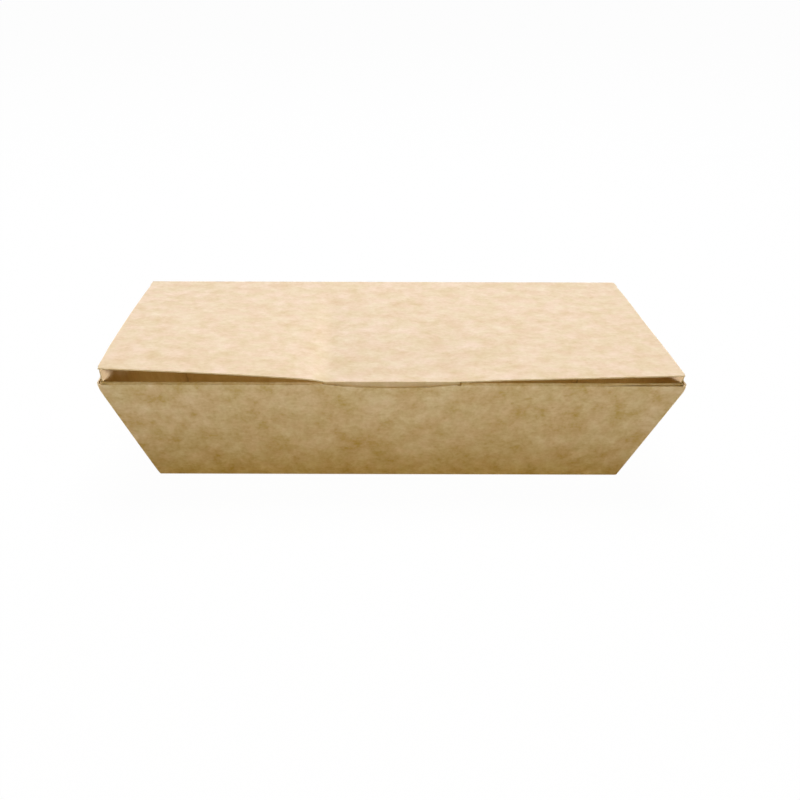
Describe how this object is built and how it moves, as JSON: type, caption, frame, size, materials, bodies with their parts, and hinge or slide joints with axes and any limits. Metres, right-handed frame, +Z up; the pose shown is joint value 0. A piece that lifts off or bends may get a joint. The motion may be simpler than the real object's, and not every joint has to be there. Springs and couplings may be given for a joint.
{
  "type": "takeaway box",
  "caption": "Shallow folded kraft board meal box with flared walls, a rolled front edge and a hinged one-panel lid with side flaps and a tuck tab.",
  "frame": {"origin": "middle of the box's footprint, on the surface that the base stands on", "axes": "+X along the long side to the right, +Y from the front with the tuck tab toward the hinged back, +Z up"},
  "size_m": [0.23, 0.128, 0.0558],
  "materials": {
    "kraft_board": "matte natural kraft board, faintly mottled, with paler cut edges"
  },
  "bodies": {
    "tray": {"tray": "kraft_board"},
    "lid": {"lid": "kraft_board"}
  },
  "joints": [
    {"name": "lid_hinge", "type": "hinge", "parent": "tray", "child": "lid", "pos_m": [0, 0.06375, 0.05015], "axis": [-1, 0, 0], "range_deg": [0, 180]}
  ]
}
